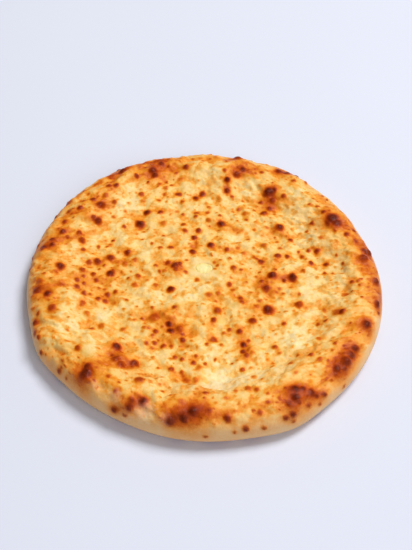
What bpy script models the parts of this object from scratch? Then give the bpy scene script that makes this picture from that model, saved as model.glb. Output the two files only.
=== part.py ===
"""Imeruli khachapuri: a whole, uncut round of Georgian cheese bread.

A flat round of dough with a puffed rim round a lower, rumpled middle.  Near the middle is the small vent that is
pinched open before baking, and the melted cheese filling stands in it.  Nothing else of the filling shows, so
the bread itself is one solid.

Lengths are metres, +Z is up.  The origin is the middle of the bread's footprint, on the surface that it rests on.
+X is to the right and +Y to the far side, seen from the side where the rim is thickest.
"""

import math

import bmesh
import bpy
from mathutils import Vector, noise

MM = 0.001

# Driving dimensions
BREAD_RADIUS = 128.5 * MM
RIM_HEIGHT = 22.5 * MM      # the rim's crown above the table
FIELD_HEIGHT = 15 * MM      # the sunken middle above the table
FIELD_DOME = 1.6 * MM       # how much the middle swells at its centre
RIM_WIDTH = 18 * MM         # from the outer edge in to the crown
SLOPE_WIDTH = 30 * MM       # from the crown in to the field
WAIST_HEIGHT = 9 * MM       # where the side stands out furthest
FOOT_TUCK = 9 * MM          # how far the side curls in under the waist
FOOT_LIFT = 0.3 * MM        # the foot's edge stands this far off the table, so only the flat underside rests
RIPPLE_HEIGHT = 1.0 * MM    # the dough's own unevenness
RIPPLE_LENGTH = 22 * MM

VENT_PLACE = Vector((0.0, 6.1 * MM))
VENT_RADIUS = 6.6 * MM
VENT_DEPTH = 4.0 * MM       # the vent's floor below the field
CHEESE_DROP = 0.3 * MM      # the cheese's top below the dough round it
CHEESE_ROUNDING = 0.7 * MM
CLEARANCE = 0.3 * MM        # between the cheese and the dough

# How finely the dough is cut
AROUND = 112
TOP_RINGS = 23              # from the centre out to the crown
SIDE_RINGS = 10             # from the crown down to the foot
FOOT_RINGS = 4              # from the foot in to the underside's middle
VENT_SIDES = 24

# Lobes round the bread: (how many, height in mm, direction of the first in degrees).
OUTLINE_LOBES = ((2, 2.0, -60),)        # the round was pressed a little oval
CROWN_LOBES = ((1, 1.0, -85), (3, 0.6, 20), (7, 0.7, 32))
SLOPE_LOBES = ((1, 4.0, 120), (3, 3.0, 75))
# Short flats and bulges of the edge: (direction and half width in degrees, how far out in mm).
EDGE_NUDGES = ((25, 16, -2.0), (60, 6, 3.5), (210, 9, 3.0), (245, 12, -1.0), (296, 9, 3.0))

KNEADING_MIDDLE = Vector((-0.3 * MM, -3.0 * MM))     # the swells and pleats are placed from here
# The larger swells and hollows of the top, in mm: (x, y, half width, lift).
SWELLS = (
    (-62, 99, 8, 1.0), (-77, 72, 9, 1.4), (-28, 98, 7, -2.0), (-40, 106, 7, 1.2), (-17, 88, 5, -1.2),
    (18, 95, 6, 1.3), (26, 92, 6, -1.7), (28, 108, 7, 1.4), (52, 84, 8, 1.3), (62, 70, 9, -1.4),
    (72, 54, 7, -1.7), (56, 50, 7, 1.4), (94, 14, 8, -2.2), (95, 53, 8, 1.5), (99, -13, 6, -2.0),
    (110, -6, 7, 1.2), (66, -50, 9, 1.8), (76, -45, 6, -1.6), (97, -53, 4, -1.6), (108, -43, 7, 1.3),
    (88, -76, 9, 1.4), (58, -99, 9, 1.5), (-8, -112, 13, 1.8), (-31, -97, 8, -1.6), (-76, -82, 8, 1.3),
    (-94, -58, 7, -1.2), (-112, 36, 8, 1.1), (-100, 52, 7, -1.2), (12, -86, 11, -1.8), (-50, -70, 8, 1.1),
    (-24, -38, 10, 1.2), (-22, 13, 8, 1.0), (48, -2, 9, 0.9),
)
# The pleats and creases of the top, in mm: (from x, from y, to x, to y, half width, lift).
PLEATS = (
    (-12, -82, 4, -93, 4.0, -1.1), (4, -95, 34, -88, 5.0, 1.3), (34, -88, 62, -80, 4.5, 0.9),
    (-23, -107, -20, -100, 3.0, 1.5), (-28, -108, -26, -98, 3.0, -1.3), (30, 98, 38, 74, 4.0, -1.4),
    (-120, -13, -98, -8, 4.5, 1.1), (-118, -3, -100, 2, 4.5, -0.9), (-115, 40, -88, 42, 5.0, 1.0),
    (-104, 64, -84, 55, 4.5, 1.0), (-66, -84, -48, -84, 4.0, -0.9), (92, -72, 101, -60, 4.5, 0.9),
    (112, -30, 121, -12, 5.0, 1.0), (84, 62, 78, 44, 4.5, -0.9),
)


def smooth(share):
    """0 to 1 with no kink at either end."""
    share = min(max(share, 0.0), 1.0)
    return share * share * (3 - 2 * share)


def lobes_at(lobes, azimuth):
    """The sum of a row of lobes in this direction."""
    return sum(high * MM * math.cos(count * (azimuth - math.radians(first))) for count, high, first in lobes)


def outline_at(azimuth):
    """The bread's outer radius in this direction."""
    radius = BREAD_RADIUS + lobes_at(OUTLINE_LOBES, azimuth)
    for direction, half_width, outward in EDGE_NUDGES:
        away = math.degrees(math.remainder(azimuth - math.radians(direction), math.tau))
        radius += outward * MM * math.exp(-((away / half_width) ** 2))
    return radius


def distance_to_line(place, start, end):
    along = end - start
    share = min(max((place - start).dot(along) / along.length_squared, 0.0), 1.0)
    return (place - start - along * share).length


def kneading_at(place):
    """How far the baker's hands and the oven's steam have raised or sunk the top here."""
    lift = RIPPLE_HEIGHT * noise.noise(place.to_3d() / RIPPLE_LENGTH)
    place = place - KNEADING_MIDDLE
    for x, y, half_width, high in SWELLS:
        away = (place - Vector((x, y)) * MM).length
        lift += high * MM * math.exp(-((away / (half_width * MM)) ** 2))
    for x, y, to_x, to_y, half_width, high in PLEATS:
        away = distance_to_line(place, Vector((x, y)) * MM, Vector((to_x, to_y)) * MM)
        lift += high * MM * math.exp(-((away / (half_width * MM)) ** 2))
    return lift


def on_ring(azimuth, radius, high):
    return Vector((math.cos(azimuth) * radius, math.sin(azimuth) * radius, high))


def top_point(azimuth, share):
    """A point of the top, from its centre (0) out to the rim's crown (1)."""
    crown_radius = outline_at(azimuth) - RIM_WIDTH
    crown_height = RIM_HEIGHT + lobes_at(CROWN_LOBES, azimuth)
    slope_width = SLOPE_WIDTH + lobes_at(SLOPE_LOBES, azimuth)
    field_radius = crown_radius - slope_width
    radius = crown_radius * share
    field_height = FIELD_HEIGHT + FIELD_DOME * (1 - smooth(radius / field_radius))
    climb = smooth((radius - field_radius) / slope_width)
    point = on_ring(azimuth, radius, field_height + (crown_height - field_height) * climb)
    point.z += kneading_at(point.xy)
    return point


def side_point(azimuth, share):
    """A point of the side, from the crown (0) round the waist (one half) to the foot (1)."""
    outline = outline_at(azimuth)
    crown_height = top_point(azimuth, 1.0).z
    turn = share * math.pi
    if share <= 0.5:
        radius = outline - RIM_WIDTH * (1 - math.sin(turn))
        high = WAIST_HEIGHT + (crown_height - WAIST_HEIGHT) * math.cos(turn)
    else:
        radius = outline - FOOT_TUCK * (1 - math.sin(turn))
        high = FOOT_LIFT + (WAIST_HEIGHT - FOOT_LIFT) * (1 + math.cos(turn))
    return on_ring(azimuth, radius, high)


def foot_point(azimuth, share):
    """A point of the flat underside, from the foot's edge (0) in to the middle (1)."""
    return on_ring(azimuth, (outline_at(azimuth) - FOOT_TUCK) * (1 - share), 0.0)


def dough_point(azimuth, ring):
    """A point of the bread's skin, on a ring counted from the top's middle to the underside's."""
    if ring <= TOP_RINGS:
        return top_point(azimuth, ring / TOP_RINGS)
    ring -= TOP_RINGS
    if ring <= SIDE_RINGS:
        return side_point(azimuth, ring / SIDE_RINGS)
    return foot_point(azimuth, (ring - SIDE_RINGS) / FOOT_RINGS)


def new_object(name, shape, collection):
    bmesh.ops.recalc_face_normals(shape, faces=shape.faces)
    mesh = bpy.data.meshes.new(name)
    shape.to_mesh(mesh)
    shape.free()
    made = bpy.data.objects.new(name, mesh)
    collection.objects.link(made)
    return made


def add_material(made, name, colour, roughness):
    finish = bpy.data.materials.new(name)
    finish.use_nodes = True
    shader = finish.node_tree.nodes["Principled BSDF"]
    shader.inputs["Base Color"].default_value = (*colour, 1.0)
    shader.inputs["Roughness"].default_value = roughness
    shader.inputs["Metallic"].default_value = 0.0
    made.data.materials.append(finish)


def footprint_middle(points):
    """The middle of the footprint, before the bread is centred on the origin."""
    xs = [point.x for point in points]
    ys = [point.y for point in points]
    return Vector(((min(xs) + max(xs)) / 2, (min(ys) + max(ys)) / 2, 0.0))


def make_bread(collection):
    """A ball of dough pressed out into the round: each ring of a sphere becomes a ring of the bread."""
    rings = TOP_RINGS + SIDE_RINGS + FOOT_RINGS
    ball = bmesh.new()
    bmesh.ops.create_uvsphere(ball, u_segments=AROUND, v_segments=rings, radius=1.0)
    for vertex in ball.verts:
        azimuth = math.atan2(vertex.co.y, vertex.co.x)
        ring = round(rings * math.acos(min(max(vertex.co.z, -1.0), 1.0)) / math.pi)
        vertex.co = dough_point(azimuth, ring)
    middle = footprint_middle([vertex.co for vertex in ball.verts])
    bmesh.ops.translate(ball, verts=ball.verts, vec=-middle)
    bmesh.ops.triangulate(ball, faces=ball.faces)
    bread = new_object("bread", ball, collection)
    bread.data.shade_smooth()
    add_material(bread, "baked_dough", (0.83, 0.52, 0.20), 0.6)
    return bread, middle


def vent_block(name, inset, low, high, collection):
    """An upright block with the vent's own pinched outline, its wall moved in by inset."""
    block = bmesh.new()
    bmesh.ops.create_cone(
        block, cap_ends=True, segments=VENT_SIDES, radius1=1.0, radius2=1.0, depth=1.0)
    for vertex in block.verts:
        azimuth = math.atan2(vertex.co.y, vertex.co.x)
        pinch = 1 + 0.13 * math.cos(2 * azimuth + 0.5) + 0.06 * math.cos(3 * azimuth - 1.0)
        vertex.co = on_ring(azimuth, VENT_RADIUS * pinch - inset, high if vertex.co.z > 0 else low)
    return new_object(name, block, collection)


def cut_vent(bread, vent_place, collection):
    cutter = vent_block("vent_cutter", 0.0, FIELD_HEIGHT - VENT_DEPTH, 2 * RIM_HEIGHT, collection)
    cutter.location = vent_place
    cutter.hide_render = True
    cutter.display_type = "WIRE"
    cut = bread.modifiers.new("vent", "BOOLEAN")
    cut.operation = "DIFFERENCE"
    cut.object = cutter


def make_vent_cheese(vent_place, collection):
    """The melted filling that stands in the vent, with a soft edge."""
    floor = FIELD_HEIGHT - VENT_DEPTH + CLEARANCE
    top = FIELD_HEIGHT + FIELD_DOME - CHEESE_DROP
    cheese = vent_block("vent_cheese", CLEARANCE, floor, top, collection)
    cheese.location = vent_place
    edge = cheese.modifiers.new("soft edge", "BEVEL")
    edge.width = CHEESE_ROUNDING
    edge.segments = 2
    edge.limit_method = "ANGLE"
    add_material(cheese, "melted_cheese", (0.98, 0.86, 0.45), 0.35)


def main():
    for left_over in list(bpy.data.objects):
        bpy.data.objects.remove(left_over)
    parts = bpy.data.collections.new("imeruli_khachapuri")
    cutters = bpy.data.collections.new("cutters")
    for collection in (parts, cutters):
        bpy.context.scene.collection.children.link(collection)
    bread, middle = make_bread(parts)
    vent_place = VENT_PLACE.to_3d() - middle
    cut_vent(bread, vent_place, cutters)
    make_vent_cheese(vent_place, parts)


main()
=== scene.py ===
"""Imeruli khachapuri: the looks.

The crust is laid over the CAD bread as one fine skin.  Its charred and brown blisters, toasted streaks,
creases and flour are placed on it one by one, and Geometry Nodes raise the small blisters, the freckles and
the dough's own ripples in between.  The skin carries how far each point of it is toasted and floured, with
painted shade in the ripples' dips and painted light on their tops, and the dough's material reads that.  The
melted cheese in the vent is a piece of its own.
"""

import math

import bmesh
import bpy
import numpy as np
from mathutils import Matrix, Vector, noise
from mathutils.bvhtree import BVHTree


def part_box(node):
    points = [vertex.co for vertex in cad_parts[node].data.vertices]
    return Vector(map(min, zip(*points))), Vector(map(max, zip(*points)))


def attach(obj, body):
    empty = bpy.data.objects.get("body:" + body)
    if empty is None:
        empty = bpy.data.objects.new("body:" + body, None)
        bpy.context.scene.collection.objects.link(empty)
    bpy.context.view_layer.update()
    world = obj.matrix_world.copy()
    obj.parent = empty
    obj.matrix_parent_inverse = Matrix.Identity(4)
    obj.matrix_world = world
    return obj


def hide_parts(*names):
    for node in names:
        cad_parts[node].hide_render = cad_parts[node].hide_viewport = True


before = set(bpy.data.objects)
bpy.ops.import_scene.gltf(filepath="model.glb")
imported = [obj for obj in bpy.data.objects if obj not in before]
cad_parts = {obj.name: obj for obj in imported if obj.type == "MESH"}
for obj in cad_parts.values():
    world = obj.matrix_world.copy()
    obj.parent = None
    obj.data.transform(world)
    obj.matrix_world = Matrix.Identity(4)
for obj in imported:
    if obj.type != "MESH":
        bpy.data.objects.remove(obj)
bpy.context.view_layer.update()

MM = 0.001
UP = Vector((0, 0, 1))
DOWN = Vector((0, 0, -1))

# The bread and its vent, from the frame
BREAD_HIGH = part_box("bread")[1]
VENT_LOW, VENT_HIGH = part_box("vent_cheese")
VENT_MIDDLE = (VENT_LOW + VENT_HIGH) / 2
VENT_HALF = (VENT_HIGH - VENT_LOW) / 2

# The skin
SPINE_IN = 15 * MM          # the middle of the puffed rim, in from the outer edge
SPINE_HEIGHT = 10 * MM
RIM_TURN = 2.75             # the way over the rim from its top to its underside, as a share of SPINE_IN
TOP_STEP = 0.82 * MM        # between neighbouring points of the top, the side and the underside
SIDE_STEP = 1.15 * MM
FOOT_STEP = 3.5 * MM
FEWEST_POINTS = 6           # in the smallest ring
OUTSIDE = 200 * MM          # well outside the rim
ABOVE = 100 * MM            # well above the top
INSIDE = 5 * MM             # in the dough, a little above the underside
WELD = 0.01 * MM            # CAD points closer than this are one point
VENT_MARGIN = 1 * MM        # how far round the vent, and how near the underside, its faces are taken out
QUAD_BEND = math.radians(40)        # how far two triangles bend and skew and still make one face
QUAD_SKEW = math.radians(60)
FORM_ROUNDING = 2           # how many times the form's faces are split and rounded

# The vent's lip
LIP_WIDTH = 2.4 * MM        # over which the dough rolls down into the vent
LIP_OVER = 0.5 * MM         # how far over the edge of the melted cheese that roll begins
VENT_DROP = 2.6 * MM        # the dough under the melted cheese, below the vent's lip
LIP_CALM = 8.0              # in mm, over which the crust's own relief rises to its full height round the vent
LIP_RELIEF = 0.15           # how much of that relief is left at the vent's edge
LIP_CLEAR = 3.0             # in mm, the ring round the vent without small blisters

# The dough's grain
FLOW_BEND = 170.0           # in mm, how the stretched dough's grain bows round the rim
FLOW_STRETCH = 1.18         # how much longer its freckles and ripples are along x than across it

# The toasting
RIM_GLOW = 0.08             # how much more the rim is toasted than the field
RIM_GLOW_START = 96.0       # in mm from the middle, where that begins, and over how much it comes up
RIM_GLOW_WIDTH = 20.0
WANDER_LENGTH = 4.5         # in mm, how the edge of each toasted spot wanders off a circle
WANDER = 0.75
WANDER_SEED = 7             # fixed, so that the edges wander the same way each time
SPOT_WANDER = 0.0014        # in metres, how far off a circle the small spots' edges run
SPOT_WANDER_SCALE = 300.0   # and how often in a metre they turn
SPOT_SIZE_BIAS = 1.6        # most small spots are near the smallest size
SPOT_FLAT = 0.15            # the middle of a small spot that is at its full height, as a share of its radius
SPOTS_AT_MOST = 300000.0    # in a square metre, before the gap between them thins them out
BLISTER_RISE = 0.26         # how high the small blisters and the freckles stand, as a share of their radius
FRECKLE_RISE = 0.16
BLISTER_TOAST = (0.12, 0.28)        # the least that they are toasted, and how much more the hottest are
FRECKLE_TOAST = (0.06, 0.36)
BARE_TOAST = 0.19           # how toasted the dough between them is
SWELL_PAINTED_SHADE = -0.03         # and how much it is painted paler on the swells and ripples and darker in their dips: painted light and shade
RIPPLE_PAINTED_SHADE = -0.06
CROWN_PRESS = 0.6           # how much of what rises past the crown sinks back as it bakes

# Blisters, one by one, in mm from MARKS_MIDDLE: (x, y, radius).
MARKS_MIDDLE = Vector((-0.2, -4.8))
CHARRED = (
    (-48, 55.5, 3.8), (-43.5, 67.5, 2.6), (18.5, 98.5, 2.3), (13, 55, 3), (50.5, 86, 4), (96, 53.5, 4.5),
    (57, 50.5, 3.3), (-102.5, 9, 3.5), (-67, 7, 3), (-108.5, -17, 2.8), (5, 33, 2.7), (-23, -9, 2.8),
    (44.7, -26.7, 3.5), (49, 3.3, 3.2), (63.7, 2.8, 3.2), (120, -24, 3), (-58, -58.5, 3.2),
    (-76, -83.3, 3.8), (-24, -39, 2.2), (-22.5, -45, 2.4), (27, -55.5, 2.2), (-38, -104, 3.2),
    (-20.5, -117, 2.8), (-6.5, -112, 3), (-12, -116.5, 2.5), (110, -43.5, 3.2), (58.5, -96, 2.8),
    (58, -102, 2.8), (56, -111.5, 2),
)
DARK = (
    (-79.5, 54.5, 3), (-84.5, 74.5, 2.5), (-78, 69, 3.5), (-93.5, 65, 2.2), (-64, 108, 3),
    (-52.5, 101, 1.8), (-68, 89.5, 2.5), (-107, 80, 2.5), (-69, 116, 3), (-40, 107, 3.2), (-38.5, 103, 2.5),
    (-34, 116, 2.5), (-14, 112, 2.2), (-19.5, 87, 2.5), (-1, 87.5, 2.6), (-6, 83, 2.2), (18.5, 89.5, 2.3),
    (31, 109, 2.5), (28, 125, 4), (-33, 67.5, 2.2), (46, 66, 3), (54.5, 87.5, 2.3), (66, 108, 3),
    (60, 110, 3), (74, 109, 3), (90, 60, 2), (81.5, 52.5, 1.8), (-68, 22, 2.8), (-77, 18, 2.8),
    (-56, 27, 2.3), (-111, 34, 2), (-110.5, 28.5, 1.8), (-116, 25.5, 2.5), (-104, 41, 2.5), (-67, 39, 1.3),
    (-117, -13.7, 2.8), (-115, -39, 2.5), (-4, 48, 2.2), (-7, 41, 2), (-8, 26.5, 2.4), (-21, 12, 2.5),
    (41.5, 17.5, 2.5), (7, -35.5, 2.2), (33.5, -37, 2.8), (44, -8.5, 2.8), (57.5, -0.5, 1.6),
    (54, 22.5, 2.5), (61, 22, 1.7), (64.5, 39.5, 1.7), (83, 28, 2), (78, 17, 2), (89, 15, 2.2),
    (105, 38, 1.8), (117, 23, 3), (121, 25, 3), (99, 49, 4), (112, 44, 2), (122, -4, 3), (121, -30, 1.5),
    (95, -32, 2.5), (-75, -78.5, 2.5), (-45, -71.5, 3.2), (-108.5, -61.5, 1.8), (-56.5, -106.5, 2),
    (-46.5, -107, 2.5), (-14, -53, 2), (24.5, -45.5, 2.2), (26.5, -61.5, 2), (15, -116, 2.2),
    (26.5, -120.5, 2.3), (101, -62.5, 2.5), (98, -67.5, 3), (93.5, -73, 3.5), (86.5, -79, 2.8),
    (63, -95.5, 2), (69, -97, 3), (72, -98.5, 2), (77, -96.5, 1.8), (51.5, -114, 2),
)
BROWN = (
    (-83, 57, 2), (-103, 64, 2), (-104, 52, 2), (-73, 89, 2.5), (-68.5, 74.5, 2), (-48.5, 85, 2),
    (-60, 52, 1.8), (22, 84, 1.7), (16.5, 106.5, 2), (26, 104, 3), (45.5, 107.5, 1.6), (-6, 62.5, 1.8),
    (-15, 54.5, 2.3), (44, 78, 2), (61.5, 81, 2), (53, 79, 2.5), (50.5, 72, 2), (70, 96, 2), (80, 98, 1.5),
    (-83, 16.5, 2.2), (-88, 27, 1.8), (-92, 41.5, 2), (-90, 35, 2.5), (-87.5, 7.5, 2), (-90, -1.5, 1.8),
    (-89, -8, 2), (-84, -14, 2), (-76.5, 0.5, 1.8), (-79, 5, 2), (-103.5, -30, 3), (-113, -33, 1.8),
    (-114, -47, 2.5), (-110, -52, 1.8), (-74, -17, 2), (-68, -12, 2), (-69, -18, 2), (-47, 3.5, 2.5),
    (-14, 47.5, 2), (-24, 30.5, 2), (-32, 30.5, 1.8), (-26, 15.5, 2), (-17.5, 14, 1.8), (-20, 8, 1.8),
    (-34.5, 12.7, 1.8), (21.5, 10.5, 2.5), (18, -4.5, 2), (26, -17, 2.2), (26.5, -21, 2), (10, -28, 2.8),
    (41.5, -1.5, 1.8), (-20.5, -25.5, 1.8), (17, 28.5, 2), (72, 23, 1.7), (77, 28.7, 1.7), (111, 33, 2),
    (115, 15.5, 3.5), (92.5, 50, 2.5), (66.5, -22, 3), (83.7, -38, 1.8), (55, -39, 1.8), (104.5, -5.5, 1.8),
    (-83, -64, 2.3), (-58, -71, 3), (-54, -75, 3), (-76, -44, 2), (-96, -78.5, 2), (-45, -103, 2.2),
    (-32.5, -45, 1.8), (-33, -54, 1.8), (-27, -57, 2), (7, -51.5, 2.5), (17.5, -43.5, 1.8), (28.5, -65, 2),
    (25.5, -75.5, 1.8), (-14, -68, 1.8), (-6.5, -71, 1.8), (-21, -76, 2), (-41, -88, 3), (1.5, -98, 2),
    (38.5, -121, 1.8), (35, -112.5, 1.8), (48, -58, 2.2), (71, -68, 1.9), (92, -78, 2), (53.5, -106, 2.2),
)
AMBER = (
    (-75, 79, 2.5), (-60, 68, 1.8), (-29.5, 92.5, 1.8), (4, 73, 1.8), (-16.5, 78, 2), (3, 67.5, 1.8),
    (3.5, 59, 2.2), (31, 65.5, 2.3), (26.5, 71, 2), (-31, 56, 3), (-57, 16.5, 2.5), (-50, 19, 2),
    (-115, -6, 3), (-84, -22.5, 2), (-80.5, -31, 2), (-49, -4.5, 2.5), (-5, 0.5, 2), (-34, -4, 1.8),
    (20.5, -9.5, 1.8), (3.5, -13.5, 2.4), (10, -13, 2), (37, -24, 2.3), (-34, -33, 4), (25, 31, 1.8),
    (44.5, 33, 2.5), (54.5, 38, 1.5), (56, 32, 1.5), (86.5, 37.5, 1.6), (98.5, -15, 2.5), (91, -30.5, 3),
    (83.5, -27.5, 1.8), (-70, -41, 2.5), (-55, -42.5, 2.5), (-93, -67, 1.5), (-61, -86.5, 1.6),
    (-16, -43.5, 3), (12, -56, 1.7), (-3, -75, 2.5), (-11, -84, 3), (-5, -84, 2.5), (20.5, -97, 1.6),
    (28.5, -94, 2.5), (33, -82.5, 2), (40.5, -106, 1.6), (62.5, -66.5, 1.5), (57, -73, 2), (77, -53, 1.8),
    (76, -72, 2), (58, -117, 2), (48, -103, 1.5), (108.5, -6, 1.6), (-68.5, 61, 1.6), (-35, 80, 1.8),
    (38, 50, 1.6), (7.5, 15.5, 1.3), (9.5, 12.5, 1.3), (8, 9.5, 1.2),
)
SMALL = (
    (-92, 73, 1.5), (-28, 114, 1.5), (-21.5, 107, 1.3), (-29, 98, 1.2), (-5.5, 66.5, 1.6), (85.5, 67, 1.3),
    (-100, 37, 1.5), (-71.5, 33, 1.2), (-77.5, 31.5, 1.5), (-72, 14.5, 1.5), (-86, 2, 1.5), (-85, -4, 1.5),
    (-66, 10.5, 1.2), (-62, -10, 1.5), (-112.5, 0.5, 1.2), (-13, 7, 1.6), (-31.5, 7, 1.2), (27, 9, 1.5),
    (-35.5, -25, 1.5), (67.5, -12.5, 1.4), (70, 28, 1.4), (87, 7, 1.5), (77, 47, 1.5), (96.5, 22, 1.2),
    (100, 13, 1.4), (78, -39, 1.5), (-92, -72, 1.2), (-93, -76, 1.3), (-89.5, -82.5, 1.2),
    (-50.5, -112, 1.5), (-38.5, -55, 1.5), (-22, -56.5, 1.7), (-14, -48, 1.5), (2, -56, 1.6),
    (30.5, -51.5, 1.6), (-19, -66, 1.6), (-5, -65.5, 1.2), (8, -68, 1.1), (1, -71.5, 1.3), (34, -96, 1.6),
    (1.5, -124, 1.5), (31, -111.5, 1.2), (87, -60, 1.4), (93.5, -61.5, 1.3), (85.5, -83, 1.4),
    (91.5, -87, 1.2), (60.5, -105, 1.5), (66, -99.5, 1.4), (74.5, -101.5, 1.2), (66.5, -105, 1.5),
    (-16, 66, 1.5), (12, 63.5, 1.3), (32, 59, 1.4), (38.5, 69, 1.5), (-12.5, 18, 1.2), (12, 17.5, 1.2),
    (33, 40, 1.4), (92.5, 5.7, 1.1), (-56, -97, 1.8), (19, -71, 1.1), (-30, -75, 1.2), (-14.5, -78, 1.4),
    (-26, -95, 1.5), (20, -125, 1.5), (-48, 124, 2), (-60, 120, 2), (-81, 109, 2), (-115, 65, 2),
    (-125, 22, 2), (-122, 33, 2), (-127, 10, 2), (80, 70, 1.2), (84, 75, 1.2), (95, 78, 1.2), (92, 82, 1.3),
    (-38, 36, 1.3), (-46, 40, 1.2), (-30, 44, 1.2), (-54, 2, 1.3), (40, 8, 1.2),
)
# Each kind: its places, how toasted its middle is, its height over its radius, and the toast of its halo.
MARK_KINDS = (
    (CHARRED, 0.95, 0.52, 0.34),
    (DARK, 0.82, 0.50, 0.30),
    (BROWN, 0.68, 0.44, 0.24),
    (SMALL, 0.62, 0.38, 0.20),
    (AMBER, 0.50, 0.26, 0.18),
)
BLISTER_FOOT = 1.15         # in radii, how wide a blister's foot is
BLISTER_DOME = (2.2, 1.6)   # how flat its top is, and how gently its side meets the dough
BLISTER_EDGE = 1.04         # in radii, where its toasted middle ends
BLISTER_CRISP = 3.8         # how sharp that edge is
BLISTER_HALO = 1.9          # in radii, how far the toast round it spreads
BLISTER_CLEAR = (1.2, 0.6)  # in radii, where small blisters begin again, and over how much
SHOULDER = 16 * MM          # the height of the marks that lie on the rim's outer side
FACING_TOP = 0.40           # how much of a point's direction is upward where the top, the side and the
FACING_SIDE = 0.98          # underside begin
FACING_UNDER = -0.25
FACING_OVER = 0.5           # and over how much each of them comes in

# Broad toasting and pale clearings, in mm from MARKS_MIDDLE: (x, y, half width, toast).
GLOWS = (
    (-115, 28, 13, 0.20), (-112, -15, 12, 0.16), (-80, 70, 9, 0.16), (-106, 48, 10, 0.12),
    (-34, 112, 14, 0.27), (29, 112, 9, 0.24), (50, 78, 9, 0.22), (96, 50, 9, 0.24), (118, 12, 10, 0.20),
    (119, -18, 9, 0.22), (108, -48, 8, 0.20), (91, -77, 12, 0.22), (62, -104, 12, 0.22),
    (-8, -115, 16, 0.26), (-50, -107, 10, 0.14), (-78, -88, 12, 0.24), (-100, -74, 12, 0.14),
    (-26, -42, 12, 0.09), (-55, -68, 11, 0.13), (46, -1, 12, 0.14), (36, -28, 8, 0.10), (-22, 11, 7, 0.05),
    (-82, 2, 20, 0.09), (12, 52, 9, 0.10), (66, 110, 10, 0.20), (-72, 112, 12, 0.23), (56, 46, 8, 0.08),
    (30, -64, 7, 0.08), (-42, 90, 8, 0.06), (112, 36, 10, 0.12), (-60, 72, 9, -0.13), (-58, 88, 8, -0.12),
    (-98, 24, 8, -0.12), (0, 4, 9, -0.14), (-8, -12, 8, -0.12), (70, -8, 9, -0.12), (64, -50, 11, -0.20),
    (12, -86, 14, -0.24), (-94, -45, 11, -0.14), (102, -31, 6, -0.16), (74, 84, 9, -0.10),
    (72, 50, 8, -0.10), (-30, -99, 7, -0.14), (20, 38, 8, -0.12), (-40, 46, 10, -0.08),
    (-70, -34, 8, -0.10), (36, -82, 9, -0.12), (-70, -60, 7, -0.10), (35, 92, 5, -0.12),
    (90, -10, 8, -0.08), (-24, -14, 13, -0.11), (22, -14, 14, 0.10), (8, -62, 12, -0.08),
    (40, -66, 9, -0.06), (-50, 108, 13, 0.10), (-78, 96, 9, 0.08),
)
# Toasted streaks and patches, in mm from MARKS_MIDDLE: (from x, from y, to x, to y, half width, toast).
STREAKS = (
    (-99, 60, -80, 55, 3.0, 0.34), (-81, 109, -60, 120, 3.0, 0.50), (-60, 120, -40, 125, 2.5, 0.46),
    (-115, 65, -104, 82, 2.5, 0.42), (18, 98, 18, 89, 2.4, 0.45), (15, 55, 28, 48, 2.4, 0.42),
    (50, 86, 52, 72, 4.5, 0.32), (26, 106, 40, 110, 4.0, 0.36), (58, 110, 76, 110, 3.5, 0.34),
    (94, 50, 106, 46, 4.0, 0.36), (88, 75, 97, 70, 4.0, 0.28), (-116, -12, -98, -8, 2.6, 0.42),
    (-116, 26, -88, 40, 4.5, 0.24), (-8, 26, -6, 35, 3.0, 0.30), (10, 31, 34, 26, 3.5, 0.22),
    (49, 3, 64, 3, 3.0, 0.30), (38, -4, 50, -10, 4.5, 0.26), (36.5, 23, 42, 17.5, 1.6, 0.50),
    (115, 12, 124, -16, 4.0, 0.30), (117, 24, 112, 32, 4.0, 0.30), (-40, -33, -12, -24, 4.5, 0.22),
    (-26, -36, -10, -46, 6.5, 0.22), (24, -44, 30, -66, 4.0, 0.22), (-62, -66, -46, -76, 5.5, 0.28),
    (-80, -86, -66, -76, 8.0, 0.26), (-58, -106, -40, -104, 4.0, 0.34), (-20, -115, 0, -111, 6.0, 0.62),
    (10, -114, 16, -113, 3.5, 0.34), (-8, -88, 3, -94, 2.4, 0.30), (-24, -108, -18, -99, 2.0, 0.26),
    (98, -60, 86, -82, 7.0, 0.34), (52, -98, 76, -98, 6.5, 0.30), (56, -98, 58, -110, 5.5, 0.28),
    (104, -42, 112, -47, 6.5, 0.24), (103, 66, 115, 42, 3.5, 0.30), (118, 36, 124, 8, 3.5, 0.34),
    (125, 2, 124, -30, 3.5, 0.34), (-127, 34, -124, 8, 3.0, 0.26), (-30, 121, 24, 123, 3.0, 0.26),
    (-86, -2, -66, -16, 5.0, 0.20), (-30, 10, -18, 12, 5.0, 0.22), (-120, 45, -115, 62, 1.8, 0.50),
    (-111.5, 68.5, -102, 75, 2.4, 0.66), (-97, 78.5, -80.5, 95.5, 1.6, 0.46),
    (-74, 102, -58, 112.5, 2.3, 0.62), (-51, 116, -34, 120.5, 2.0, 0.54),
)
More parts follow.
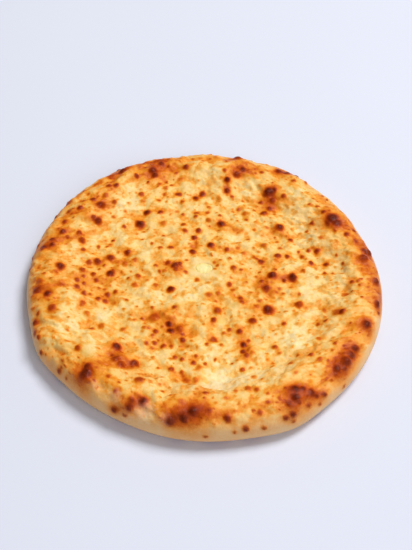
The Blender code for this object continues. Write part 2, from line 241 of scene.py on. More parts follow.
# Creases where the dough was gathered and turned, in mm from MARKS_MIDDLE:
# (from x, from y, to x, to y, half width, depth).
CREASES = (
    (-26, -106, -26, -100, 1.8, 1.0), (-26, -100, -21, -96, 1.8, 1.0), (-21, -96, -15, -95, 1.8, 0.7),
    (-14, -82, -2, -89, 1.8, 0.8), (-2, -89, 12, -91, 2.2, 1.0), (12, -91, 26, -88, 2.0, 0.8),
    (26, -88, 44, -82, 2.0, 0.7), (44, -82, 62, -78, 2.0, 0.5), (38, 98, 46, 84, 2.2, 0.9),
    (30, 102, 36, 90, 2.4, 0.8), (-104, 66, -88, 78, 2.0, 0.7), (-100, 56, -86, 50, 2.0, 0.6),
    (-118, 6, -100, 4, 2.2, 0.7), (-112, 44, -96, 50, 2.0, 0.6), (84, 66, 92, 46, 3.0, 0.7),
    (94, 22, 100, 2, 3.2, 0.7), (96, -6, 103, -24, 3.0, 0.8), (66, 36, 82, 24, 2.2, 0.6),
    (24, 44, 44, 40, 2.2, 0.7), (44, 40, 56, 50, 2.2, 0.6), (-62, -60, -48, -56, 2.2, 0.6),
    (64, -104, 62, -114, 2.2, 1.0), (74, -58, 90, -50, 2.2, 0.7), (-50, -86, -38, -94, 2.0, 0.6),
)
# Where flour from the baker's board still clings, in mm from MARKS_MIDDLE: (x, y, half width, how much).
FLOURED = (
    (-70, -92, 9, 0.7), (-56, -100, 8, 0.8), (-37, -110, 10, 1.0), (-24, -116, 7, 0.8), (-86, -82, 7, 0.5),
    (-104, -68, 8, 0.5), (-119, 54, 9, 0.6), (-110, 70, 8, 0.5), (-48, -113, 8, 0.7), (-122, 30, 7, 0.4),
    (84, -92, 8, 0.3), (103, -55, 7, 0.3),
)


def linear(code):
    """An sRGB hex colour as the linear colour that shaders take."""
    parts = [int(code[at:at + 2], 16) / 255 for at in (1, 3, 5)]
    return (*(part / 12.92 if part <= 0.04045 else ((part + 0.055) / 1.055) ** 2.4 for part in parts), 1.0)


def socket(sockets, name):
    """The socket of this number or name: where a name has one for each kind of value, the one in use."""
    if isinstance(name, int):
        return sockets[name]
    return next(found for found in sockets if found.name == name and found.enabled)


def fill(node, inputs):
    """Gives each named or numbered input of a node its value, or a link from another node's output."""
    for name, value in inputs.items():
        target = socket(node.inputs, name)
        if isinstance(value, bpy.types.NodeSocket):
            node.id_data.links.new(value, target)
        else:
            target.default_value = value


def add(tree, kind, inputs=None, output=0, **settings):
    """Adds a node to a tree with its settings and inputs. Gives back one of its outputs, or all for None."""
    made = tree.nodes.new(kind)
    for name, value in settings.items():
        setattr(made, name, value)
    fill(made, inputs or {})
    return made.outputs if output is None else socket(made.outputs, output)


# ---- The skin

def welded_copy(node):
    """A CAD node's mesh with its loose triangles joined."""
    shape = bmesh.new()
    shape.from_mesh(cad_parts[node].data)
    bmesh.ops.remove_doubles(shape, verts=shape.verts, dist=WELD)
    mesh = bpy.data.meshes.new(node + " form")
    shape.to_mesh(mesh)
    shape.free()
    return mesh


def close_vent(mesh):
    """Takes the vent out of the bread's form, closes the hole and joins the triangles in pairs."""
    form = bmesh.new()
    form.from_mesh(mesh)
    reach = VENT_HALF.xy.length + VENT_MARGIN
    inside_vent = []
    for face in form.faces:
        middle = face.calc_center_median()
        if (middle - VENT_MIDDLE).xy.length < reach and middle.z > VENT_MARGIN:
            inside_vent.append(face)
    bmesh.ops.delete(form, geom=inside_vent, context="FACES")
    rim = [edge for edge in form.edges if edge.is_boundary]
    bmesh.ops.holes_fill(form, edges=rim, sides=0)
    bmesh.ops.join_triangles(
        form, faces=form.faces, angle_face_threshold=QUAD_BEND, angle_shape_threshold=QUAD_SKEW)
    form.to_mesh(mesh)
    form.free()


def dough_form():
    """The CAD bread as one smooth surface, its vent filled in, to lay the skin on."""
    mesh = welded_copy("bread")
    close_vent(mesh)
    holder = bpy.data.objects.new("dough form", mesh)
    bpy.context.scene.collection.objects.link(holder)
    rounding = holder.modifiers.new("rounding", "SUBSURF")
    rounding.levels = rounding.render_levels = FORM_ROUNDING
    surface = BVHTree.FromObject(holder, bpy.context.evaluated_depsgraph_get())
    bpy.data.objects.remove(holder)
    bpy.data.meshes.remove(mesh)
    return surface


def heading(azimuth):
    """The level direction at this azimuth."""
    return Vector((math.cos(azimuth), math.sin(azimuth), 0.0))


def hit(surface, start, direction):
    """Where a line from start in this direction meets the surface."""
    place = surface.ray_cast(start, direction)[0]
    return place if place is not None else start


def spine_radius(surface, way):
    """How far the middle of the puffed rim is from the centre in this direction."""
    return hit(surface, way * OUTSIDE + UP * SPINE_HEIGHT, -way).xy.length - SPINE_IN


def skin_rings(surface):
    """The skin's points, ring by ring, from the top's middle over the rim to the underside's middle."""
    mean_spine = BREAD_HIGH.x - SPINE_IN
    rings = []

    def lay(length, step, point_at):
        count = max(FEWEST_POINTS, round(length / step))
        ways = [heading(math.tau * number / count) for number in range(count)]
        rings.append([point_at(way, spine_radius(surface, way)) for way in ways])

    top_rings = round(mean_spine / TOP_STEP)
    for ring in range(1, top_rings):
        share = ring / top_rings
        lay(math.tau * mean_spine * share, TOP_STEP, lambda way, spine: hit(
            surface, way * spine * share + UP * ABOVE, DOWN))
    side_rings = round(RIM_TURN * SPINE_IN / SIDE_STEP)
    for ring in range(side_rings + 1):
        tilt = math.pi / 2 - math.pi * ring / side_rings
        lay(math.tau * (mean_spine + SPINE_IN / 2), SIDE_STEP, lambda way, spine: hit(
            surface, way * spine + UP * SPINE_HEIGHT, way * math.cos(tilt) + UP * math.sin(tilt)))
    foot_rings = round(mean_spine / FOOT_STEP)
    for ring in range(1, foot_rings):
        share = 1 - ring / foot_rings
        lay(math.tau * mean_spine * share, FOOT_STEP, lambda way, spine: hit(
            surface, way * spine * share + UP * INSIDE, DOWN))
    return rings


def zip_rings(faces, outer, inner):
    """Joins two closed rings of unlike counts with triangles, always from the one that lags behind.

    Each ring is its count of points and the number of its first.
    """
    (outer_count, outer_first), (inner_count, inner_first) = outer, inner
    at_outer = at_inner = 0
    while at_outer < outer_count or at_inner < inner_count:
        here_outer = outer_first + at_outer % outer_count
        here_inner = inner_first + at_inner % inner_count
        if (at_outer + 1) / outer_count <= (at_inner + 1) / inner_count:
            faces.append((here_outer, outer_first + (at_outer + 1) % outer_count, here_inner))
            at_outer += 1
        else:
            faces.append((here_outer, inner_first + (at_inner + 1) % inner_count, here_inner))
            at_inner += 1


def lay_skin(surface):
    """The skin's mesh: rings of points joined by triangles, with one point in the middle of each end."""
    rings = skin_rings(surface)
    points = [hit(surface, UP * ABOVE, DOWN)]
    faces = []
    spans = []
    for places in rings:
        spans.append((len(places), len(points)))
        points.extend(places)
    bottom = len(points)
    points.append(hit(surface, UP * INSIDE, DOWN))
    count, first = spans[0]
    for number in range(count):
        faces.append((0, first + number, first + (number + 1) % count))
    for inner, outer in zip(spans, spans[1:]):
        zip_rings(faces, outer, inner)
    count, first = spans[-1]
    for number in range(count):
        faces.append((bottom, first + (number + 1) % count, first + number))
    mesh = bpy.data.meshes.new("crust")
    mesh.from_pydata([tuple(point) for point in points], [], faces)
    mesh.update()
    mesh.shade_smooth()
    return mesh


# ---- Marks of the oven, worked out in mm

def read_points(mesh, name):
    """A vector of each of a mesh's points, such as its place, one to a row."""
    values = np.empty(len(mesh.vertices) * 3)
    mesh.vertices.foreach_get(name, values)
    return values.reshape(-1, 3)


def on_skin(surface, x, y):
    """The place on the skin under (x, y) from MARKS_MIDDLE, or the nearest one on the rim's side."""
    start = Vector((x + MARKS_MIDDLE.x, y + MARKS_MIDDLE.y, ABOVE / MM)) * MM
    place = surface.ray_cast(start, DOWN)[0]
    if place is None or place.z < SPINE_HEIGHT:
        place = surface.find_nearest(Vector((start.x, start.y, SHOULDER)))[0]
    return np.array(place) / MM


def away_from(places, middle):
    """How far each place is from the middle."""
    return np.linalg.norm(places - middle, axis=1)


def away_from_line(places, start, end):
    """How far each place is from the line between two points."""
    along = end - start
    share = np.clip((places - start) @ along / (along @ along), 0, 1)
    return np.linalg.norm(places - start - share[:, None] * along, axis=1)


def fade(away, half_width):
    """1 in the middle of a soft patch, fading out past its half width."""
    return np.exp(-(away / half_width) ** 2)


def ease(share):
    """From 0 to 1, starting and ending gently."""
    share = np.clip(share, 0, 1)
    return share * share * (3 - 2 * share)


def vent_distance(place):
    """How far outside the melted cheese's oval a point of the top is, in metres.

    It is below zero inside the oval, and the rest of the skin counts as far away.
    """
    if place.z < SPINE_HEIGHT:
        return OUTSIDE
    from_middle = (place - VENT_MIDDLE).xy
    share = math.hypot(from_middle.x / VENT_HALF.x, from_middle.y / VENT_HALF.y)
    return from_middle.length * (1 - 1 / share) if share > 0 else -VENT_HALF.y


def raise_blisters(places, wander, surface):
    """How far the listed blisters lift and toast each place, and how free they leave it."""
    lift, toast, free = np.zeros(len(places)), np.zeros(len(places)), np.ones(len(places))
    flatness, gentleness = BLISTER_DOME
    clear_from, clear_over = BLISTER_CLEAR
    half_wandered, wandered = places + wander * 0.5, places + wander
    for marks, heat, rise, halo in MARK_KINDS:
        for x, y, radius in marks:
            middle = on_skin(surface, x, y)
            away = away_from(half_wandered, middle) / (radius * BLISTER_FOOT)
            lift = np.maximum(lift, rise * radius * np.clip(1 - away ** flatness, 0, 1) ** gentleness)
            free = np.minimum(free, np.clip((away - clear_from) / clear_over, 0, 1))
            away = away_from(wandered, middle) / radius
            toast = np.maximum(toast, heat * np.exp(-(away / BLISTER_EDGE) ** BLISTER_CRISP))
            toast += (1 - toast) * halo * fade(away, BLISTER_HALO)
    return lift, toast, free


def mark_skin(mesh, surface):
    """Stores on the skin what the listed marks, the vent and the way it faces give each point.

    lift and drop are in metres. toast and glow run from raw (0) to charred (1). upper, side and under say
    which way the skin faces, free is where small blisters may still come, and flow is the place along the
    dough's grain.
    """
    places = read_points(mesh, "co") / MM
    noise.seed_set(WANDER_SEED)
    wander = np.array([noise.noise_vector(Vector(place) / WANDER_LENGTH) for place in places]) * WANDER
    wandered = places + wander
    lift, toast, free = raise_blisters(places, wander, surface)

    glow = RIM_GLOW * np.clip((np.hypot(places[:, 0], places[:, 1]) - RIM_GLOW_START) / RIM_GLOW_WIDTH, 0, 1)
    for x, y, half_width, heat in GLOWS:
        glow += heat * fade(away_from(wandered, on_skin(surface, x, y)), half_width)
    for x, y, to_x, to_y, half_width, heat in STREAKS:
        away = away_from_line(wandered, on_skin(surface, x, y), on_skin(surface, to_x, to_y))
        toast += (1 - toast) * heat * fade(away, half_width)
    for x, y, to_x, to_y, half_width, depth in CREASES:
        away = away_from_line(places, on_skin(surface, x, y), on_skin(surface, to_x, to_y))
        lift -= depth * fade(away, half_width)
    flour = np.zeros(len(places))
    for x, y, half_width, much in FLOURED:
        flour = np.maximum(flour, much * fade(away_from(wandered, on_skin(surface, x, y)), half_width))

    facing = read_points(mesh, "normal")[:, 2]
    from_vent = np.array([vent_distance(Vector(place) * MM) for place in places]) / MM
    upper = ease((facing - FACING_TOP) / FACING_OVER) * np.clip((from_vent + 1) / LIP_CALM, LIP_RELIEF, 1)
    free *= upper * np.clip((from_vent - LIP_CLEAR) / 2, 0, 1)
    stores = {
        "lift": lift * MM, "toast": toast, "free": free, "upper": upper, "glow": glow, "flour": flour,
        "side": np.clip((FACING_SIDE - facing) / FACING_OVER, 0, 1),
        "under": np.clip((FACING_UNDER - facing) / FACING_OVER, 0, 1),
        "drop": VENT_DROP * ease((-LIP_OVER / MM - from_vent) / (LIP_WIDTH / MM)),
    }
    for name, values in stores.items():
        mesh.attributes.new(name, "FLOAT", "POINT").data.foreach_set("value", values.astype(np.float32))
    flow = places * MM
    flow[:, 1] *= 1 + (places[:, 0] / FLOW_BEND) ** 2
    flow[:, 0] /= FLOW_STRETCH
    grain = mesh.attributes.new("flow", "FLOAT_VECTOR", "POINT")
    grain.data.foreach_set("vector", flow.ravel().astype(np.float32))


# ---- Geometry Nodes

def new_tree(name, inputs, outputs):
    """A Geometry Nodes tree and its inputs by name. Each row is a name, a socket type and a value."""
    tree = bpy.data.node_groups.new(name, "GeometryNodeTree")
    for way, rows in (("INPUT", inputs), ("OUTPUT", outputs)):
        for row_name, kind, *value in rows:
            row = tree.interface.new_socket(row_name, in_out=way, socket_type="NodeSocket" + kind)
            if value:
                row.default_value = value[0]
    return tree, add(tree, "NodeGroupInput", output=None)


def ripple(tree, here, width, detail, shift):
    """Soft noise from about -1 to 1 whose lumps are width across."""
    moved = add(tree, "ShaderNodeVectorMath", {0: here, 1: (shift, 0.0, 0.0)}, operation="ADD")
    scale = add(tree, "ShaderNodeMath", {0: 1.0, 1: width}, operation="DIVIDE")
    waves = add(tree, "ShaderNodeTexNoise", {
        "Vector": moved, "Scale": scale, "Detail": detail, "Roughness": 0.5})
    return add(tree, "ShaderNodeMath", {0: waves, 1: 4.0, 2: -2.0}, operation="MULTIPLY_ADD")


def spots_tree():
    """Spots strewn in drifts: how deep each point lies in the nearest, and that one's heat and radius."""
    tree, given = new_tree(
        "oven spots",
        (("Skin", "Geometry"), ("Gap", "Float", 5 * MM), ("Smallest", "Float", 1 * MM),
         ("Largest", "Float", 2 * MM), ("Drift Width", "Float", 20 * MM), ("Seed", "Int", 1)),
        (("Depth", "Float"), ("Heat", "Float"), ("Radius", "Float")))
    flow = add(tree, "GeometryNodeInputNamedAttribute", {
        "Name": "flow"}, "Attribute", data_type="FLOAT_VECTOR")
    free = add(tree, "GeometryNodeInputNamedAttribute", {"Name": "free"}, "Attribute", data_type="FLOAT")
    drifts = add(tree, "ShaderNodeMapRange", {
        "Value": ripple(tree, flow, given["Drift Width"], 2.0, 0.5), "From Min": -0.5, "From Max": 0.35,
        "To Min": 0.02, "To Max": 1.0})
    crowding = add(tree, "ShaderNodeMath", {0: free, 1: drifts}, operation="MULTIPLY")
    strewn = add(tree, "GeometryNodeDistributePointsOnFaces", {
        "Mesh": given["Skin"], "Distance Min": given["Gap"], "Density Max": SPOTS_AT_MOST,
        "Density Factor": crowding, "Seed": given["Seed"]}, "Points", distribute_method="POISSON")
    here = add(tree, "GeometryNodeInputPosition")
    waves = add(tree, "ShaderNodeTexNoise", {
        "Scale": SPOT_WANDER_SCALE, "Detail": 1.0, "Vector": here}, "Color")
    shift = add(tree, "ShaderNodeVectorMath", {0: waves, 1: (0.5, 0.5, 0.5)}, operation="SUBTRACT")

    def wandered(place):
        return add(tree, "ShaderNodeVectorMath", {
            0: shift, 1: (SPOT_WANDER,) * 3, 2: place}, operation="MULTIPLY_ADD")

    nearest = add(tree, "GeometryNodeSampleNearest", {"Geometry": strewn, "Sample Position": wandered(here)})

    def of_nearest(value, kind):
        return add(tree, "GeometryNodeSampleIndex", {
            "Geometry": strewn, "Value": value, "Index": nearest}, data_type=kind)

    size = add(tree, "FunctionNodeRandomValue", {
        "Min": 0.0, "Max": 1.0, "Seed": given["Seed"]}, "Value", data_type="FLOAT")
    heat_seed = add(tree, "ShaderNodeMath", {0: given["Seed"], 1: 1.0}, operation="ADD")
    heat = add(tree, "FunctionNodeRandomValue", {
        "Min": 0.0, "Max": 1.0, "Seed": heat_seed}, "Value", data_type="FLOAT")
    share = add(tree, "ShaderNodeMath", {0: of_nearest(size, "FLOAT"), 1: SPOT_SIZE_BIAS}, operation="POWER")
    span = add(tree, "ShaderNodeMath", {0: given["Largest"], 1: given["Smallest"]}, operation="SUBTRACT")
    radius = add(tree, "ShaderNodeMath", {0: share, 1: span, 2: given["Smallest"]}, operation="MULTIPLY_ADD")
    flat = add(tree, "ShaderNodeMath", {0: radius, 1: SPOT_FLAT}, operation="MULTIPLY")
    away = add(tree, "ShaderNodeVectorMath", {
        0: wandered(flow), 1: of_nearest(flow, "FLOAT_VECTOR")}, "Value", operation="DISTANCE")
    depth = add(tree, "ShaderNodeMapRange", {
        "Value": away, "From Min": radius, "From Max": flat, "To Min": 0.0, "To Max": 1.0},
        interpolation_type="SMOOTHSTEP")
    add(tree, "NodeGroupOutput", {
        "Depth": depth, "Heat": of_nearest(heat, "FLOAT"), "Radius": radius}, output=None)
    return tree


def crust_tree():
    """The skin as it bakes: ripples, puckers, small blisters and freckles, and how toasted each point is,
    with painted shade in the ripples' dips and painted light on their tops.
    """
    tree, given = new_tree(
        "baked crust",
        (("Skin", "Geometry"), ("Swell Width", "Float", 17 * MM), ("Swell Height", "Float", 1.4 * MM),
         ("Ripple Width", "Float", 8.5 * MM), ("Ripple Height", "Float", 1.5 * MM),
         ("Pucker Width", "Float", 3.6 * MM), ("Pucker Height", "Float", 0.3 * MM),
         ("Blister Gap", "Float", 8.5 * MM), ("Freckle Gap", "Float", 4.2 * MM),
         ("Drift Width", "Float", 24 * MM), ("Crown", "Float", 23.2 * MM), ("Seed", "Int", 7),
         ("Finish", "Material")),
        (("Crust", "Geometry"),))
    flow = add(tree, "GeometryNodeInputNamedAttribute", {
        "Name": "flow"}, "Attribute", data_type="FLOAT_VECTOR")
    held = {name: add(tree, "GeometryNodeInputNamedAttribute", {"Name": name}, "Attribute", data_type="FLOAT")
            for name in ("upper", "lift", "drop", "glow", "toast")}
    swell = ripple(tree, flow, given["Swell Width"], 1.0, 0.3)
    lumps = ripple(tree, flow, given["Ripple Width"], 2.0, 0.7)
    puckers = ripple(tree, flow, given["Pucker Width"], 2.0, 1.1)
    spots = spots_tree()

    def strew(gap, smallest, largest, seed):
        own_seed = add(tree, "ShaderNodeMath", {0: given["Seed"], 1: seed}, operation="ADD")
        return add(tree, "GeometryNodeGroup", {
            "Skin": given["Skin"], "Gap": gap, "Smallest": smallest, "Largest": largest,
            "Drift Width": given["Drift Width"], "Seed": own_seed}, output=None, node_tree=spots)

    blisters = strew(given["Blister Gap"], 1.3 * MM, 3.0 * MM, 0.0)
    freckles = strew(given["Freckle Gap"], 0.9 * MM, 2.0 * MM, 20.0)

    rises = []
    for spot, rise in ((blisters, BLISTER_RISE), (freckles, FRECKLE_RISE)):
        bulge = add(tree, "ShaderNodeMath", {0: spot["Depth"], 1: spot["Radius"]}, operation="MULTIPLY")
        rises.append(add(tree, "ShaderNodeMath", {0: bulge, 1: rise}, operation="MULTIPLY"))
    height = add(tree, "ShaderNodeMath", {0: rises[0], 1: rises[1]}, operation="ADD")
    for waves, size in ((lumps, "Ripple Height"), (swell, "Swell Height"), (puckers, "Pucker Height")):
        height = add(tree, "ShaderNodeMath", {0: waves, 1: given[size], 2: height}, operation="MULTIPLY_ADD")
    height = add(tree, "ShaderNodeMath", {0: height, 1: held["upper"]}, operation="MULTIPLY")
    height = add(tree, "ShaderNodeMath", {0: height, 1: held["lift"]}, operation="ADD")
    normal = add(tree, "GeometryNodeInputNormal")
    push = add(tree, "ShaderNodeVectorMath", {0: normal, "Scale": height}, operation="SCALE")
    sunk = add(tree, "ShaderNodeMath", {0: held["drop"], 1: -1.0}, operation="MULTIPLY")
    sink = add(tree, "ShaderNodeCombineXYZ", {"Z": sunk})
    offset = add(tree, "ShaderNodeVectorMath", {0: push, 1: sink}, operation="ADD")

    # Painted light and shade: the dough is painted paler where the swells and ripples rise and darker where
    # they dip
    toast = add(tree, "ShaderNodeMath", {0: swell, 1: SWELL_PAINTED_SHADE, 2: BARE_TOAST}, operation="MULTIPLY_ADD")
    toast = add(tree, "ShaderNodeMath", {0: lumps, 1: RIPPLE_PAINTED_SHADE, 2: toast}, operation="MULTIPLY_ADD")
    toast = add(tree, "ShaderNodeMath", {0: toast, 1: held["glow"]}, operation="ADD")
    for spot, (least, more) in ((blisters, BLISTER_TOAST), (freckles, FRECKLE_TOAST)):
        heat = add(tree, "ShaderNodeMath", {0: spot["Heat"], 1: more, 2: least}, operation="MULTIPLY_ADD")
        heat = add(tree, "ShaderNodeMath", {0: spot["Depth"], 1: heat}, operation="MULTIPLY")
        toast = add(tree, "ShaderNodeMath", {0: heat, 1: held["upper"], 2: toast}, operation="MULTIPLY_ADD")
    left = add(tree, "ShaderNodeMath", {0: 1.0, 1: held["toast"]}, operation="SUBTRACT")
    left = add(tree, "ShaderNodeMath", {0: toast, 1: left}, operation="MULTIPLY")
    toast = add(tree, "ShaderNodeMath", {0: held["toast"], 1: left}, operation="ADD", use_clamp=True)

    toasted = add(tree, "GeometryNodeStoreNamedAttribute", {
        "Geometry": given["Skin"], "Name": "toast", "Value": toast}, data_type="FLOAT", domain="POINT")
    raised = add(tree, "GeometryNodeSetPosition", {"Geometry": toasted, "Offset": offset})
    here = add(tree, "GeometryNodeInputPosition")
    high = add(tree, "ShaderNodeSeparateXYZ", {"Vector": here}, "Z")
    above = add(tree, "ShaderNodeMath", {0: high, 1: given["Crown"]}, operation="SUBTRACT")
    above = add(tree, "ShaderNodeMath", {0: above, 1: 0.0}, operation="MAXIMUM")
    pressed = add(tree, "ShaderNodeMath", {0: above, 1: -CROWN_PRESS}, operation="MULTIPLY")
    press = add(tree, "ShaderNodeCombineXYZ", {"Z": pressed})
    settled = add(tree, "GeometryNodeSetPosition", {"Geometry": raised, "Offset": press})
    realized = add(tree, "GeometryNodeRealizeInstances", {"Geometry": settled})
    finished = add(tree, "GeometryNodeSetMaterial", {"Geometry": realized, "Material": given["Finish"]})
    add(tree, "NodeGroupOutput", {"Crust": finished}, output=None)
    return tree


def cheese_tree():
    """A plug of filling as it melts: its corners gone, and its top a little lumpy."""
    tree, given = new_tree(
        "melted cheese",
        (("Plug", "Geometry"), ("Fineness", "Float", 0.35 * MM), ("Lump Width", "Float", 4 * MM),
         ("Lump Height", "Float", 0.3 * MM), ("Finish", "Material")),
        (("Melt", "Geometry"),))
    band = add(tree, "ShaderNodeMath", {0: given["Fineness"], 1: 3.0}, operation="MULTIPLY")
    solid = add(tree, "GeometryNodeMeshToVolume", {
        "Mesh": given["Plug"], "Voxel Size": given["Fineness"], "Interior Band Width": band},
        resolution_mode="VOXEL_SIZE")
    melt = add(tree, "GeometryNodeVolumeToMesh", {
        "Volume": solid, "Voxel Size": given["Fineness"], "Threshold": 0.1}, resolution_mode="VOXEL_SIZE")
    here = add(tree, "GeometryNodeInputPosition")
    soft = add(tree, "GeometryNodeBlurAttribute", {"Value": here, "Iterations": 8}, data_type="FLOAT_VECTOR")
    softened = add(tree, "GeometryNodeSetPosition", {"Geometry": melt, "Position": soft})
    normal = add(tree, "GeometryNodeInputNormal")
    waves = ripple(tree, here, given["Lump Width"], 2.0, 0.2)
    lump = add(tree, "ShaderNodeMath", {0: waves, 1: given["Lump Height"]}, operation="MULTIPLY")
    push = add(tree, "ShaderNodeVectorMath", {0: normal, "Scale": lump}, operation="SCALE")
    lumpy = add(tree, "GeometryNodeSetPosition", {"Geometry": softened, "Offset": push})
    smoothed = add(tree, "GeometryNodeSetShadeSmooth", {"Geometry": lumpy})
    realized = add(tree, "GeometryNodeRealizeInstances", {"Geometry": smoothed})
    finished = add(tree, "GeometryNodeSetMaterial", {"Geometry": realized, "Material": given["Finish"]})
    add(tree, "NodeGroupOutput", {"Melt": finished}, output=None)
    return tree


def grow(piece, tree, finish):
    """Runs a tree on a piece, with its finish, and keeps what it makes as the piece's own plain mesh."""
    growth = piece.modifiers.new(tree.name, "NODES")
    growth.node_group = tree
    for row in tree.interface.items_tree:
        if row.in_out == "INPUT" and row.name == "Finish":
            growth[row.identifier] = finish
    sight = bpy.context.evaluated_depsgraph_get()
    grown = bpy.data.meshes.new_from_object(
        piece.evaluated_get(sight), preserve_all_data_layers=True, depsgraph=sight)
    piece.modifiers.remove(growth)
    before = piece.data
    piece.data = grown
    bpy.data.meshes.remove(before)


# ---- Materials

def material(name):
    """A new material, its tree and its shader."""
    made = bpy.data.materials.new(name)
    made.use_nodes = True
    return made, made.node_tree, made.node_tree.nodes["Principled BSDF"]


def tint(colour, stops):
    """Gives a colour band, whose colour this is, its stops: (place, sRGB hex) in rising order."""
    band = colour.node.color_ramp
    band.elements[0].position, band.elements[-1].position = stops[0][0], stops[-1][0]
    band.elements[0].color, band.elements[-1].color = linear(stops[0][1]), linear(stops[-1][1])
    for place, code in stops[1:-1]:
        band.elements.new(place).color = linear(code)


def baked_dough():
    """Buttered wheat dough, baked hot: dull pale crumb between, browned and a little glossy on top."""
    made, tree, shader = material("baked_dough")
    coords = add(tree, "ShaderNodeTexCoord", output="Object")
    flow = add(tree, "ShaderNodeAttribute", output="Vector", attribute_name="flow")
    held = {name: add(tree, "ShaderNodeAttribute", output="Fac", attribute_name=name)
            for name in ("toast", "upper", "side", "under", "flour")}
    # Each grain of the dough: what it follows, its width, its detail and its own place in the noise
    grains = {name: add(tree, "ShaderNodeTexNoise", {
        "Vector": along, "W": shift, "Scale": 1 / width, "Detail": detail}, noise_dimensions="4D")
        for name, along, width, detail, shift in (
            ("blotches", flow, 7.0 * MM, 2.0, 1.0), ("speckle", coords, 2.6 * MM, 1.5, 7.0),
            ("stone marks", coords, 11.0 * MM, 3.0, 13.0), ("flour", coords, 1.5 * MM, 4.0, 11.0),
            ("crumb", coords, 1.6 * MM, 2.0, 0.0), ("fine crumb", coords, 0.8 * MM, 1.0, 3.0),
            ("pores", coords, 1.1 * MM, 3.0, 5.0), ("fine pores", coords, 0.5 * MM, 2.0, 9.0))}

    blotches = add(tree, "ShaderNodeMapRange", {
        "Value": grains["blotches"], "From Min": 0.44, "From Max": 0.64, "To Min": 0.0, "To Max": 0.26},
        interpolation_type="SMOOTHSTEP")
    speckle = add(tree, "ShaderNodeMapRange", {
        "Value": grains["speckle"], "From Min": 0.52, "From Max": 0.68, "To Min": 0.0, "To Max": 0.12},
        interpolation_type="SMOOTHSTEP")
    mottle = add(tree, "ShaderNodeMath", {0: blotches, 1: speckle}, operation="ADD")
    mottle = add(tree, "ShaderNodeMath", {0: mottle, 1: held["upper"]}, operation="MULTIPLY")
    raw = add(tree, "ShaderNodeMath", {0: 1.0, 1: held["toast"]}, operation="SUBTRACT", use_clamp=True)
    toast = add(tree, "ShaderNodeMath", {0: mottle, 1: raw, 2: held["toast"]}, operation="MULTIPLY_ADD")
    stone_marks = add(tree, "ShaderNodeMapRange", {
        "Value": grains["stone marks"], "From Min": 0.42, "From Max": 0.68, "To Min": 0.10, "To Max": 0.62})
    toast = add(tree, "ShaderNodeMath", {
        0: stone_marks, 1: held["under"], 2: toast}, operation="MULTIPLY_ADD")
    for name, strength in (("crumb", 0.15), ("fine crumb", 0.10)):
        crumb = add(tree, "ShaderNodeMath", {0: grains[name], 1: 0.5}, operation="SUBTRACT")
        toast = add(tree, "ShaderNodeMath", {0: crumb, 1: strength, 2: toast}, operation="MULTIPLY_ADD")

    browned = add(tree, "ShaderNodeValToRGB", {"Fac": toast})
    tint(browned, (
        (0.00, "#FFEAB4"), (0.15, "#FEDE98"), (0.30, "#FAC86C"), (0.45, "#F49F2C"), (0.60, "#DE740A"),
        (0.72, "#C45202"), (0.84, "#A23800"), (0.94, "#7C2500"), (1.00, "#581600")))
    pale = add(tree, "ShaderNodeValToRGB", {"Fac": toast})
    tint(pale, (
        (0.05, "#EED2A4"), (0.30, "#E9BA7F"), (0.50, "#E59C4C"), (0.70, "#BC6018"), (0.90, "#7E300A")))
    colour = add(tree, "ShaderNodeMix", {
        "Factor": held["side"], "A": browned, "B": pale}, "Result", data_type="RGBA")
    dusting = add(tree, "ShaderNodeMath", {0: grains["flour"], 1: 0.5}, operation="SUBTRACT")
    dusting = add(tree, "ShaderNodeMath", {0: held["flour"], 1: dusting}, operation="ADD")
    dusting = add(tree, "ShaderNodeMapRange", {
        "Value": dusting, "From Min": 0.45, "From Max": 1.0, "To Min": 0.0, "To Max": 0.6})
    dusting = add(tree, "ShaderNodeMath", {0: dusting, 1: raw}, operation="MULTIPLY")
    colour = add(tree, "ShaderNodeMix", {
        "Factor": dusting, "A": colour, "B": linear("#F6DFC2")}, "Result", data_type="RGBA")

    dull = add(tree, "ShaderNodeMath", {0: toast, 1: -0.20, 2: 0.50}, operation="MULTIPLY_ADD")
    shine = add(tree, "ShaderNodeMath", {0: toast, 1: -0.24, 2: 0.36}, operation="MULTIPLY_ADD")
    pores = add(tree, "ShaderNodeMath", {
        0: grains["fine pores"], 1: 0.5, 2: grains["pores"]}, operation="MULTIPLY_ADD")
    pitted = add(tree, "ShaderNodeBump", {"Strength": 0.7, "Distance": 0.45 * MM, "Height": pores})
    fill(shader, {
        "Base Color": colour, "Roughness": dull, "IOR": 1.45, "Specular IOR Level": shine,
        "Subsurface Weight": 0.14, "Subsurface Radius": (1.0, 0.55, 0.25), "Subsurface Scale": 1.2 * MM,
        "Normal": pitted})
    return made


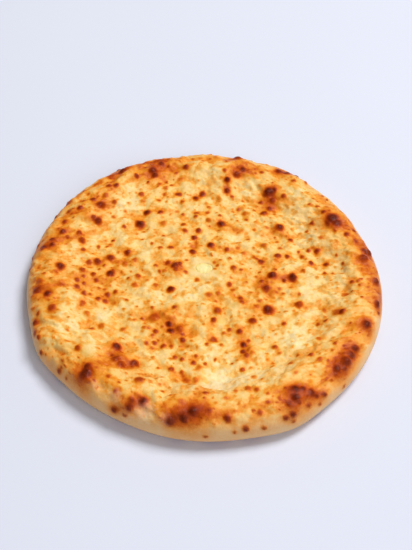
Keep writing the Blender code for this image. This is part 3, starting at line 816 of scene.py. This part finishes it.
def melted_cheese():
    """Fresh imeruli cheese, melted and set: pale yellow, moist, a little glossy, amber at the dough."""
    made, tree, shader = material("melted_cheese")
    coords = add(tree, "ShaderNodeTexCoord", output="Object")
    away = add(tree, "ShaderNodeVectorMath", {0: coords, 1: tuple(VENT_MIDDLE)}, operation="SUBTRACT")
    shares = add(tree, "ShaderNodeVectorMath", {
        0: away, 1: (1 / VENT_HALF.x, 1 / VENT_HALF.y, 0.0)}, operation="MULTIPLY")
    reach = add(tree, "ShaderNodeVectorMath", {0: shares}, "Value", operation="LENGTH")
    lumps, curds = (add(tree, "ShaderNodeTexNoise", {
        "Vector": coords, "W": shift, "Scale": 1 / width, "Detail": 3.0}, noise_dimensions="4D")
        for width, shift in ((2.2 * MM, 0.0), (1.2 * MM, 2.0)))
    lumps = add(tree, "ShaderNodeMath", {0: lumps, 1: 0.5}, operation="SUBTRACT")
    reach = add(tree, "ShaderNodeMath", {0: lumps, 1: 0.5, 2: reach}, operation="MULTIPLY_ADD")
    colour = add(tree, "ShaderNodeValToRGB", {"Fac": reach})
    tint(colour, ((0.3, "#FFF0AE"), (0.75, "#FDE592"), (0.95, "#F6C45C"), (1.1, "#E39A35")))
    uneven = add(tree, "ShaderNodeBump", {"Strength": 0.4, "Distance": 0.3 * MM, "Height": curds})
    fill(shader, {
        "Base Color": colour, "Roughness": 0.34, "IOR": 1.45, "Subsurface Weight": 0.25,
        "Subsurface Radius": (1.0, 0.7, 0.35), "Subsurface Scale": 2.5 * MM, "Normal": uneven})
    return made


def table_top():
    """A matt painted table: pale, very slightly lavender."""
    made, tree, shader = material("pale_table")
    coords = add(tree, "ShaderNodeTexCoord", output="Object")
    clouds = add(tree, "ShaderNodeTexNoise", {
        "Vector": coords, "W": 0.0, "Scale": 1 / (400 * MM), "Detail": 2.0}, noise_dimensions="4D")
    shade = add(tree, "ShaderNodeValToRGB", {"Fac": clouds})
    tint(shade, ((0.3, "#E0E8F9"), (0.7, "#E2EAFB")))
    fill(shader, {"Base Color": shade, "Roughness": 0.9, "Specular IOR Level": 0.1})
    return made


# ---- The pieces

surface = dough_form()
crust = bpy.data.objects.new("crust", lay_skin(surface))
bpy.context.scene.collection.objects.link(crust)
mark_skin(crust.data, surface)
grow(crust, crust_tree(), baked_dough())
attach(crust, "root")
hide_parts("bread")

filling = bpy.data.objects.new("melted_filling", welded_copy("vent_cheese"))
bpy.context.scene.collection.objects.link(filling)
grow(filling, cheese_tree(), melted_cheese())
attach(filling, "root")
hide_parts("vent_cheese")


# ---- Table, light and camera

TABLE_HALF = 4.0            # in metres, half the table's side
CAMERA_TARGET = Vector((1.5, 2.2, 13.0)) * MM
CAMERA_DISTANCE = 620 * MM
CAMERA_ELEVATION = math.radians(50)
CAMERA_LENS = 56.3          # on a 36 mm sensor, along the frame's long side


def lay_table():
    """A table top, level with the bread's underside."""
    shape = bmesh.new()
    bmesh.ops.create_grid(shape, x_segments=1, y_segments=1, size=TABLE_HALF)
    mesh = bpy.data.meshes.new("table")
    shape.to_mesh(mesh)
    shape.free()
    table = bpy.data.objects.new("table", mesh)
    bpy.context.scene.collection.objects.link(table)
    mesh.materials.append(table_top())


def hang_light(name, place, size, power, colour):
    """A round soft light that faces the bread, its place and size in metres and its power in watts."""
    light = bpy.data.lights.new(name, "AREA")
    light.shape = "DISK"
    light.size = size
    light.energy = power
    light.color = linear(colour)[:3]
    lamp = bpy.data.objects.new(name, light)
    bpy.context.scene.collection.objects.link(lamp)
    lamp.location = place
    lamp.rotation_euler = (-Vector(place)).to_track_quat("-Z", "Y").to_euler()


def light_room(colour, strength):
    """The light that comes from all round."""
    world = bpy.data.worlds.new("soft room")
    world.use_nodes = True
    fill(world.node_tree.nodes["Background"], {"Color": linear(colour), "Strength": strength})
    bpy.context.scene.world = world


def place_camera():
    """The camera looks down on the bread from the front."""
    data = bpy.data.cameras.new("camera")
    data.lens = CAMERA_LENS
    camera = bpy.data.objects.new("camera", data)
    bpy.context.scene.collection.objects.link(camera)
    back = Vector((0.0, -math.cos(CAMERA_ELEVATION), math.sin(CAMERA_ELEVATION)))
    camera.location = CAMERA_TARGET + CAMERA_DISTANCE * back
    camera.rotation_euler = (-back).to_track_quat("-Z", "Y").to_euler()
    bpy.context.scene.camera = camera


lay_table()
hang_light("key light", (1.50, 1.05, 3.00), 1.50, 96.0, "#FFFBF8")
hang_light("front fill", (0.90, -1.80, 1.50), 1.40, 15.0, "#F8F9FF")
light_room("#F9EEE6", 0.29)
place_camera()
bpy.context.scene.view_settings.view_transform = "Standard"
